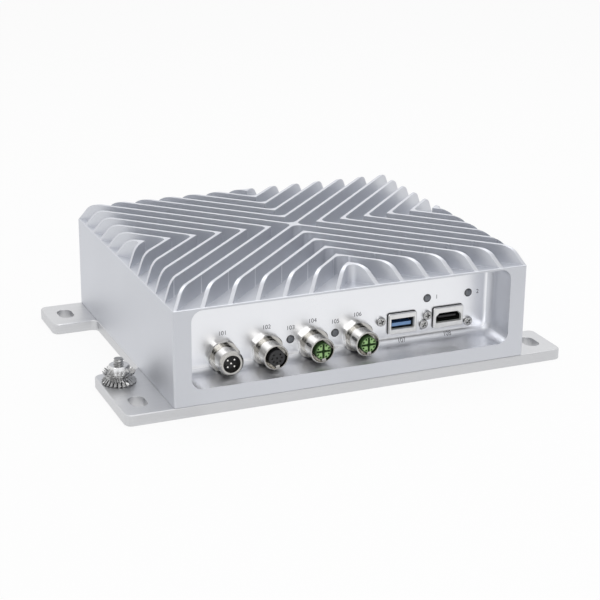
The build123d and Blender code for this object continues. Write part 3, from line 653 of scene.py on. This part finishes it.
def star_washer(bm, inner, rim, rise, turn, sizes):
    """A flat middle of full thickness, and twisted teeth that rise or drop towards the rim."""
    per_tooth, steps = 6, 4
    teeth = sizes.washer_teeth
    root = rim - sizes.tooth_length
    flat_reach = min(sizes.washer_flat, root - 0.15 * MM)
    edges = circle_edges(bm, inner, teeth * per_tooth)
    for radius in (flat_reach, root):
        edges = grow_ring(bm, edges, radius, 0)
    pitch = 2 * math.pi / teeth
    for tooth in range(teeth):
        axis = Vector((math.cos(tooth * pitch), math.sin(tooth * pitch), 0))
        side = Vector((-axis.y, axis.x, 0))
        own = [edge for edge in edges if abs(angle_between(edge_middle(edge), axis)) < pitch * 0.27]
        twist = Matrix.Rotation(sizes.tooth_twist / steps, 3, axis)
        for _ in range(steps):
            grown = bmesh.ops.extrude_edge_only(bm, edges=own)["geom"]
            tips = verts_in(grown)
            between = [item for item in grown if isinstance(item, bmesh.types.BMEdge)]
            own = [edge for edge in between if set(edge.verts).issubset(tips)]
            for vert in tips:
                vert.co += axis * sizes.tooth_length / steps
                vert.co += side * vert.co.dot(side) * sizes.tooth_spread / steps
            bmesh.ops.rotate(bm, verts=tips, cent=(0, 0, 0), matrix=twist)
    bmesh.ops.recalc_face_normals(bm, faces=bm.faces)
    if next(iter(bm.faces)).normal.z < 0:
        bmesh.ops.reverse_faces(bm, faces=bm.faces)
    bmesh.ops.solidify(bm, geom=bm.faces[:], thickness=sizes.washer_sheet)
    heights = [vert.co.z for vert in bm.verts if vert.co.xy.length < flat_reach + 0.01 * MM]
    shift = (min(heights) + max(heights)) / 2
    for vert in bm.verts:
        out = vert.co.xy.length
        vert.co.z -= shift
        if out < flat_reach + 0.01 * MM:
            vert.co.z *= sizes.washer_middle / sizes.washer_sheet
        slope = (out - flat_reach) / (rim - flat_reach)
        vert.co.z += rise * max(0.0, slope)
    bmesh.ops.rotate(bm, verts=bm.verts, cent=(0, 0, 0), matrix=Matrix.Rotation(turn, 3, "Z"))


def edge_middle(edge):
    return (edge.verts[0].co + edge.verts[1].co) / 2


def angle_between(place, axis):
    """Angle about Z from an axis to a place."""
    return Vector((place.x, place.y)).angle_signed(Vector((axis.x, axis.y)), 0.0)


def cross_head_screw(bm, head_height, low, sizes):
    """A pan-head screw standing on Z = 0, with a tapered cross recess."""
    before = set(bm.verts)
    head = sizes.screw_head / 2
    shank = sizes.screw_shank / 2
    reach = sizes.recess_span / 2
    half_slot = sizes.recess_slot / 2
    grid = bmesh.ops.create_grid(bm, x_segments=3, y_segments=3, size=reach)["verts"]
    for vert in grid:
        inner_x = abs(vert.co.x) < reach * 0.9
        inner_y = abs(vert.co.y) < reach * 0.9
        vert.co.x = math.copysign(half_slot if inner_x else reach, vert.co.x)
        vert.co.y = math.copysign(half_slot if inner_y else reach, vert.co.y)
        vert.co.z = head_height
    rim = [edge for edge in linked(grid, "edges") if edge.is_boundary]
    middles = {face: face.calc_center_median().xy for face in linked(grid, "faces")}
    cross = [face for face, spot in middles.items() if min(map(abs, spot)) < half_slot]
    sunk = bmesh.ops.extrude_face_region(bm, geom=cross)["geom"]
    bmesh.ops.delete(bm, geom=cross, context="FACES_ONLY")
    for vert in verts_in(sunk):
        vert.co.xy *= sizes.recess_taper
        vert.co.z -= sizes.recess_depth
    flat = reach * 1.35
    ring = circle_edges(bm, flat, sizes.round_steps, height=head_height)
    bmesh.ops.triangle_fill(bm, edges=rim + ring, use_beauty=True)
    rounds = 6
    crown = 0.65
    for step in range(1, rounds + 1):
        bend = math.pi / 2 * step / rounds
        radius = flat + (head - flat) * math.sin(bend)
        ring = grow_ring(bm, ring, radius, head_height * (1 - crown + crown * math.cos(bend)))
    for radius, height in ((head, 0), (shank, 0), (shank, low)):
        ring = grow_ring(bm, ring, radius, height)
    cap_ring(bm, ring)
    return [vert for vert in bm.verts if vert not in before]


def petal(bm, holes, radius, sizes):
    """A quarter of a network insert's face: rounded corners, two contact holes, a soft rim."""
    before = set(bm.verts)
    bmesh.ops.create_circle(bm, cap_ends=True, segments=sizes.round_steps, radius=radius)
    half_gap = sizes.petal_gap / 2
    for normal in ((1, 0, 0), (0, 1, 0)):
        own = [vert for vert in bm.verts if vert not in before]
        bmesh.ops.bisect_plane(
            bm,
            geom=own + linked(own, "edges") + linked(own, "faces"),
            dist=0.0001 * MM,
            plane_co=Vector(normal) * half_gap,
            plane_no=normal,
            clear_inner=True,
        )
    corners = [vert for vert in bm.verts if vert not in before and is_corner(vert)]
    bmesh.ops.bevel(
        bm,
        geom=corners,
        offset=sizes.petal_corner,
        offset_type="OFFSET",
        affect="VERTICES",
        segments=5,
        profile=0.5,
        material=-1,
    )
    own = [vert for vert in bm.verts if vert not in before]
    bmesh.ops.delete(bm, geom=linked(own, "faces"), context="FACES_ONLY")
    outline = linked(own, "edges")
    for spot in holes:
        outline += circle_edges(bm, sizes.petal_hole / 2, 20, spot)
    filled = bmesh.ops.triangle_fill(bm, edges=outline, use_beauty=True)["geom"]
    faces = [item for item in filled if isinstance(item, bmesh.types.BMFace)]
    raised = bmesh.ops.extrude_face_region(bm, geom=faces)["geom"]
    bmesh.ops.translate(bm, verts=verts_in(raised), vec=(0, 0, sizes.petal_rise))
    top = {item for item in raised if isinstance(item, bmesh.types.BMFace)}
    lips = [edge for edge in linked(verts_in(raised), "edges") if is_lip(edge, top)]
    bmesh.ops.bevel(
        bm, geom=lips, offset=sizes.petal_lip, affect="EDGES", segments=2, profile=0.5, material=-1
    )
    return [vert for vert in bm.verts if vert not in before]


def is_lip(edge, faces):
    """Whether just one of the faces that meet at an edge is among some faces."""
    return len([face for face in edge.link_faces if face in faces]) == 1


def is_corner(vert):
    """Whether the outline turns by more than 30 degrees at a vertex."""
    one, other = (edge.other_vert(vert).co - vert.co for edge in vert.link_edges)
    return math.pi - one.angle(other) > math.radians(30)


def numeral(text, x, z, sizes, material):
    """Printed number on the panel, a thin mesh with its middle at x, z."""
    digit_share = 0.7
    curve = bpy.data.curves.new("numeral_" + text, "FONT")
    curve.body = text
    curve.size = sizes.numeral_height / digit_share
    curve.align_x = "CENTER"
    curve.align_y = "CENTER"
    curve.extrude = sizes.numeral_rise / 2
    carrier = bpy.data.objects.new("numeral_" + text, curve)
    bpy.context.scene.collection.objects.link(carrier)
    bpy.context.view_layer.update()
    evaluated = carrier.evaluated_get(bpy.context.evaluated_depsgraph_get())
    mesh = bpy.data.meshes.new_from_object(evaluated)
    bpy.data.objects.remove(carrier)
    bm = bmesh.new()
    bm.from_mesh(mesh)
    bpy.data.meshes.remove(mesh)
    bmesh.ops.remove_doubles(bm, verts=bm.verts, dist=0.0005 * MM)
    bm.transform(on_panel(x, z, sizes.numeral_rise / 2))
    lay_on_housing(bm, z, sizes)
    return finish_piece("numeral_" + text, bm, material)


def lay_on_housing(bm, z, sizes):
    """Slices a print level by level and moves every slice back or forth onto the housing."""
    housing = frame["nodes"]["heatsink_housing"]
    panel = panel_front()
    ray_start = 20 * MM
    for level in range(-4, 5):
        trim(bm, z + level * sizes.numeral_height / 8, None)
    for vert in bm.verts:
        found, place = housing.ray_cast((vert.co.x, vert.co.y - ray_start, vert.co.z), (0, 1, 0))[:2]
        if not found:
            raise RuntimeError("A numeral has nothing behind it to be printed on")
        vert.co.y += place.y - panel


# Stage helpers

def direction(azimuth, elevation):
    """From the object outwards, turned about Z from the front and raised."""
    flat = math.cos(elevation)
    return Vector((math.sin(azimuth) * flat, -math.cos(azimuth) * flat, math.sin(elevation)))


def flat_sheet(name, half_width, height, material):
    """Mesh of a square sheet at a height."""
    bm = bmesh.new()
    bmesh.ops.create_grid(bm, x_segments=1, y_segments=1, size=half_width)
    bmesh.ops.translate(bm, verts=bm.verts, vec=(0, 0, height))
    mesh = bpy.data.meshes.new(name)
    bm.to_mesh(mesh)
    bm.free()
    mesh.materials.append(material)
    return mesh


# Operators

class StepOperator:
    """What the operators share."""

    bl_options = {"REGISTER", "UNDO"}

    def execute(self, context):
        settings = context.scene
        self.build(settings.edge_computer_sizes, settings.edge_computer_colours)
        return {"FINISHED"}


class EDGECOMPUTER_OT_stage(bpy.types.Operator):
    """Floor, white surroundings, lamps and the camera at the photograph's viewpoint"""

    bl_idname = "edge_computer.stage"
    bl_label = "Stage"
    bl_options = {"REGISTER", "UNDO"}

    def execute(self, context):
        stage = context.scene.edge_computer_stage
        context.scene.view_settings.view_transform = "Standard"
        self.floor(context, stage)
        self.surroundings(context, stage)
        self.lamps(context, stage)
        self.camera(context, stage)
        return {"FINISHED"}

    def floor(self, context, stage):
        nodes = Finish("floor_paper")
        mottle = nodes.even_noise(180 * MM)
        lit = nodes.node(
            "ShaderNodeBsdfPrincipled",
            values={
                "Base Color": nodes.blend(mottle, stage.floor_colour, shade(stage.floor_colour, 0.98)),
                "Roughness": 0.85,
                "Specular IOR Level": 0.0,
            },
        )
        white = nodes.node("ShaderNodeEmission", values={"Strength": 1.0})
        factor = nodes.seen_directly() * stage.floor_whitening
        shader = nodes.node("ShaderNodeMixShader", values={0: factor, 1: lit, 2: white})
        nodes.node("ShaderNodeOutputMaterial", values={"Surface": shader})
        sheet = flat_sheet("floor", stage.floor_size, -stage.floor_drop, nodes.material)
        floor = bpy.data.objects.new("floor", sheet)
        context.scene.collection.objects.link(floor)

    def surroundings(self, context, stage):
        world = bpy.data.worlds.new("white_surroundings")
        world.use_nodes = True
        nodes = Nodes(world.node_tree)
        strength = stage.ambient + nodes.seen_directly() * (1 - stage.ambient)
        shader = nodes.node("ShaderNodeBackground", values={"Color": (1, 1, 1, 1), "Strength": strength})
        nodes.node("ShaderNodeOutputWorld", values={"Surface": shader})
        context.scene.world = world

    def lamps(self, context, stage):
        overhead = (stage.key_right, stage.key_back, stage.key_height)
        self.softbox(context, "key_softbox", overhead, stage.key_size, stage.key_power)
        front = direction(stage.front_azimuth, stage.front_elevation) * stage.front_distance
        self.softbox(context, "front_softbox", front, stage.front_size, stage.front_power)
        nodes = Finish("flag_cloth")
        weave = nodes.even_noise(2 * MM)
        cloth = nodes.surface(Base_Color=nodes.blend(weave, (0.01,) * 3, (0.02,) * 3))
        right = direction(stage.right_flag_azimuth, stage.right_flag_elevation)
        left = direction(stage.left_flag_azimuth, stage.left_flag_elevation)
        for name, towards in (("right_flag", right), ("left_flag", left)):
            self.flag(context, name, towards * stage.flag_distance, stage.flag_size, cloth)

    def softbox(self, context, name, place, size, power):
        box = bpy.data.lights.new(name, "AREA")
        box.shape = "SQUARE"
        box.size = size
        box.energy = power
        lamp = bpy.data.objects.new(name, box)
        lamp.location = place
        lamp.rotation_mode = "QUATERNION"
        lamp.rotation_quaternion = (-lamp.location).to_track_quat("-Z", "Y")
        context.scene.collection.objects.link(lamp)

    def flag(self, context, name, place, size, cloth):
        """A black card that only polished metal sees."""
        card = bpy.data.objects.new(name, flat_sheet(name, size / 2, 0, cloth))
        card.location = place
        card.rotation_mode = "QUATERNION"
        card.rotation_quaternion = card.location.to_track_quat("Z", "Y")
        card.visible_camera = False
        card.visible_diffuse = False
        card.visible_shadow = False
        context.scene.collection.objects.link(card)

    def camera(self, context, stage):
        lens = bpy.data.cameras.new("camera")
        lens.lens = stage.lens
        lens.sensor_width = 36.0
        camera = bpy.data.objects.new("camera", lens)
        towards = direction(stage.camera_azimuth, stage.camera_elevation)
        camera.location = Vector(stage.camera_aim) + towards * stage.camera_distance
        camera.rotation_mode = "QUATERNION"
        roll = Quaternion((0, 0, 1), stage.camera_roll)
        camera.rotation_quaternion = (-towards).to_track_quat("-Z", "Y") @ roll
        context.scene.collection.objects.link(camera)
        context.scene.camera = camera


class EDGECOMPUTER_OT_housing(StepOperator, bpy.types.Operator):
    """Finish of the heatsink housing and its gasket"""

    bl_idname = "edge_computer.housing"
    bl_label = "Housing"

    def build(self, sizes, colours):
        dress_slot("housing_aluminium", blasted_aluminium(colours))
        dress_slot("seal_rubber", moulded("seal_rubber", colours.rubber, 0.6))


class EDGECOMPUTER_OT_base_plate(StepOperator, bpy.types.Operator):
    """Finish of the base plate and the screws under it"""

    bl_idname = "edge_computer.base_plate"
    bl_label = "Base plate"

    def build(self, sizes, colours):
        dress_slot("plate_aluminium", milled_aluminium(colours))
        dress_slot("screw_steel", plated("screw_steel", colours.steel, 0.28, "Z"))


class EDGECOMPUTER_OT_ground_stud(StepOperator, bpy.types.Operator):
    """Threaded ground stud, its nut's finish and two star washers"""

    bl_idname = "edge_computer.ground_stud"
    bl_label = "Ground stud"

    def build(self, sizes, colours):
        dress_slot("stud_steel", plated("nut_steel", shade(colours.steel, 1.25), 0.2, "Z", ring=0.3))
        steel = plated("stud_steel", shade(colours.steel, 0.62), 0.14, "Z", ring=0.3)
        centre = middle("ground_stud")
        upright = Matrix.Translation((centre.x, centre.y, 0))
        low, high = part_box("ground_stud")
        bm = bmesh.new()
        threaded_rod(bm, (high.x - low.x) / 2, low.z, high.z, sizes)
        bm.transform(upright)
        finish_piece("threaded_ground_stud", bm, steel, ["ground_stud"])
        dark = plated("washer_steel", shade(colours.steel, 0.65), 0.12, "Z", ring=0.4, edge=0.1)
        bore = (high.x - low.x) / 2 + sizes.washer_bore
        half = sizes.washer_middle / 2
        for node, way, turn in (("ground_washer_lower", -1, 0.0), ("ground_washer_upper", 1, 0.17)):
            low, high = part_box(node)
            rise = way * (high.z - low.z - sizes.washer_middle)
            bm = bmesh.new()
            star_washer(bm, bore, (high.x - low.x) / 2, rise, turn, sizes)
            level = low.z + half if way > 0 else high.z - half
            bmesh.ops.translate(bm, verts=bm.verts, vec=(0, 0, level))
            bm.transform(upright)
            name = node.replace("ground_", "star_")
            finish_piece(name, bm, dark, [node], 25)


class EDGECOMPUTER_OT_round_ports(StepOperator, bpy.types.Operator):
    """Finishes of the round ports' shells, inserts, pins and seals"""

    bl_idname = "edge_computer.round_ports"
    bl_label = "Round ports"

    def build(self, sizes, colours):
        dress_slot("port_nickel", plated("port_nickel", colours.nickel, 0.07, "Y"))
        dress_slot("insert_black", moulded("insert_black", colours.black, 0.4))
        # Painted shade: the inserts' dark green stands in for the shade inside the bores; the petals of
        # the same plastic are lighter.
        dress_slot("insert_green", moulded("insert_green", colours.green, 0.38))
        dress_slot("contact_gold", plated("contact_tin", colours.contact, 0.2, "Y", ring=0.1))
        # The shield crosses' dark green tint is painted shade and painted reflection of the green
        # plastic round them.
        cross = sheet_metal("shield_cross", colours.shield_painted_shade, 0.3)
        dress("network_port_1_shield", cross)
        dress("network_port_2_shield", cross)


class EDGECOMPUTER_OT_network_petals(StepOperator, bpy.types.Operator):
    """Four light petals on the face of each network insert, round its contact holes"""

    bl_idname = "edge_computer.network_petals"
    bl_label = "Network petals"

    def build(self, sizes, colours):
        material = moulded("petal_green", colours.petal, 0.36, depth=0.004, edge=0.08)
        for port in ("network_port_1", "network_port_2"):
            low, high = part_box(port + "_insert")
            centre = middle(port + "_insert")
            radius = (high.x - low.x) / 2 - sizes.petal_rim
            bm = bmesh.new()
            for quarter in range(4):
                made = petal(bm, self.holes(sizes), radius, sizes)
                turn = Matrix.Rotation(quarter * math.pi / 2, 3, "Z")
                bmesh.ops.rotate(bm, verts=made, cent=(0, 0, 0), matrix=turn)
            bm.transform(on_panel(centre.x, centre.z, panel_front() - low.y))
            finish_piece(port + "_petals", bm, material)

    def holes(self, sizes):
        """The two contact holes of the first quarter."""
        diagonal = Vector((1, 1)).normalized() * sizes.hole_reach
        across = Vector((-1, 1)).normalized() * sizes.hole_spread
        return [diagonal + across * side for side in (-1, 1)]


class EDGECOMPUTER_OT_rectangular_ports(StepOperator, bpy.types.Operator):
    """Finishes of the two rectangular ports: frames, faces, shells and tongues"""

    bl_idname = "edge_computer.rectangular_ports"
    bl_label = "Rectangular ports"

    def build(self, sizes, colours):
        dress_slot("frame_black", moulded("frame_black", colours.black, 0.45))
        dress_slot("face_metal", plated("face_metal", colours.face, 0.3, "X", ring=0.5))
        shell = sheet_metal("inner_shell", colours.shell, 0.3)
        dress("usb_port_shell", shell)
        dress("video_port_shell", shell)
        dress_slot("tongue_blue", blue_tongue(colours))
        dress_slot("tongue_black", moulded("tongue_black", colours.black, 0.35))


class EDGECOMPUTER_OT_port_screws(StepOperator, bpy.types.Operator):
    """Pan-head screws with cross recesses beside the rectangular ports"""

    bl_idname = "edge_computer.port_screws"
    bl_label = "Port screws"

    def build(self, sizes, colours):
        chrome = plated("port_screw_chrome", shade(colours.steel, 0.75), 0.1, "Y", ring=0.3, edge=0.1)
        dress_slot("port_screw_chrome", chrome)
        low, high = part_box("port_screws")
        head_height = panel_front() - low.y
        tail = panel_front() - high.y
        bm = bmesh.new()
        for index, (x, z) in enumerate(self.places()):
            made = cross_head_screw(bm, head_height, tail, sizes)
            turn = Matrix.Rotation(math.radians(20 + 37 * index), 3, "Z")
            bmesh.ops.rotate(bm, verts=made, cent=(0, 0, 0), matrix=turn)
            bmesh.ops.transform(bm, verts=made, matrix=on_panel(x, z))
        finish_piece("cross_head_port_screws", bm, chrome, ["port_screws"])

    def places(self):
        """Middle of each screw, read from the outermost points of its own solid."""
        mesh = frame["nodes"]["port_screws"].data
        front = min(vert.co.y for vert in mesh.vertices)
        found = []
        for vert in mesh.vertices:
            if vert.co.y > front + 0.01 * MM:
                continue
            near = [group for group in found if (group[0] - vert.co).length < 5 * MM]
            if near:
                near[0].append(vert.co.copy())
            else:
                found.append([vert.co.copy()])
        spots = []
        for group in found:
            xs = [place.x for place in group]
            zs = [place.z for place in group]
            spots.append(((min(xs) + max(xs)) / 2, (min(zs) + max(zs)) / 2))
        return sorted(spots)


class EDGECOMPUTER_OT_lenses(StepOperator, bpy.types.Operator):
    """Smoked indicator lenses"""

    bl_idname = "edge_computer.lenses"
    bl_label = "Lenses"

    def build(self, sizes, colours):
        for node in NODES_WITH["lens_smoke"]:
            dress(node, smoked_lens(node, colours))


class EDGECOMPUTER_OT_numerals(StepOperator, bpy.types.Operator):
    """Plain numbers printed beside the ports and lenses, from left to right"""

    bl_idname = "edge_computer.numerals"
    bl_label = "Numerals"

    def build(self, sizes, colours):
        ink = printed_ink(colours)
        spots = [
            ("101", "power_port_insert", 0, sizes.over_port),
            ("102", "data_port_insert", 0, sizes.over_port),
            ("103", "link_lens_2", 0, sizes.over_lens),
            ("104", "network_port_2_insert", 0, sizes.over_port),
            ("105", "link_lens_1", 0, sizes.over_lens),
            ("106", "network_port_1_insert", 0, sizes.over_port),
            ("107", "usb_port_face", 0, -sizes.under_port),
            ("108", "video_port_face", 0, -sizes.under_port),
            ("1", "status_lens_left", sizes.beside_lens, 0),
            ("2", "status_lens_right", sizes.beside_lens, 0),
        ]
        for text, node, right, up in spots:
            centre = middle(node)
            numeral(text, centre.x + right, centre.z + up, sizes, ink)


class EDGECOMPUTER_OT_inside(StepOperator, bpy.types.Operator):
    """Finishes of the boards, chips and connectors inside the housing"""

    bl_idname = "edge_computer.inside"
    bl_label = "Inside"

    def build(self, sizes, colours):
        dress_slot("board_green", solder_mask(colours))
        dress_slot("pillar_brass", plated("pillar_brass", colours.brass, 0.25, "Z"))
        dress_slot("connector_black", moulded("connector_black", colours.black, 0.5))
        dress_slot("chip_black", moulded("chip_black", (0.03, 0.03, 0.032), 0.5, grain=0.12))
        dress_slot("inductor_grey", moulded("inductor_grey", (0.09, 0.09, 0.09), 0.7, grain=0.4))
        dress_slot("capacitor_can", plated("capacitor_can", (0.75, 0.76, 0.78), 0.2, "Z"))
        dress_slot("pad_grey", moulded("pad_grey", (0.3, 0.31, 0.33), 0.8, grain=0.6))
        dress_slot("led_white", led_body())
        dress_slot("spreader_aluminium", spreader_aluminium(colours))


OPERATORS = (
    EDGECOMPUTER_OT_stage,
    EDGECOMPUTER_OT_housing,
    EDGECOMPUTER_OT_base_plate,
    EDGECOMPUTER_OT_ground_stud,
    EDGECOMPUTER_OT_round_ports,
    EDGECOMPUTER_OT_network_petals,
    EDGECOMPUTER_OT_rectangular_ports,
    EDGECOMPUTER_OT_port_screws,
    EDGECOMPUTER_OT_lenses,
    EDGECOMPUTER_OT_numerals,
    EDGECOMPUTER_OT_inside,
)

SETTINGS = {
    "edge_computer_stage": StageSettings,
    "edge_computer_sizes": FineSizes,
    "edge_computer_colours": FinishColours,
}


class EDGECOMPUTER_PT_panel(bpy.types.Panel):
    """Sidebar panel with every step and every setting"""

    bl_idname = "EDGECOMPUTER_PT_panel"
    bl_label = "Edge Computer"
    bl_space_type = "VIEW_3D"
    bl_region_type = "UI"
    bl_category = "Edge Computer"

    def draw(self, context):
        for operator in OPERATORS:
            self.layout.operator(operator.bl_idname)
        for attribute, group in SETTINGS.items():
            box = self.layout.box()
            box.label(text=group.__doc__.rstrip("."))
            for name in group.__annotations__:
                box.prop(getattr(context.scene, attribute), name)


def register():
    for group in SETTINGS.values():
        bpy.utils.register_class(group)
    for operator in OPERATORS:
        bpy.utils.register_class(operator)
    bpy.utils.register_class(EDGECOMPUTER_PT_panel)
    for attribute, group in SETTINGS.items():
        setattr(bpy.types.Scene, attribute, PointerProperty(type=group))


def unregister():
    for attribute in SETTINGS:
        delattr(bpy.types.Scene, attribute)
    bpy.utils.unregister_class(EDGECOMPUTER_PT_panel)
    for operator in reversed(OPERATORS):
        bpy.utils.unregister_class(operator)
    for group in SETTINGS.values():
        bpy.utils.unregister_class(group)


def main():
    register()
    for operator in OPERATORS:
        family, step = operator.bl_idname.split(".")
        getattr(getattr(bpy.ops, family), step)()


if __name__ == "__main__":
    main()
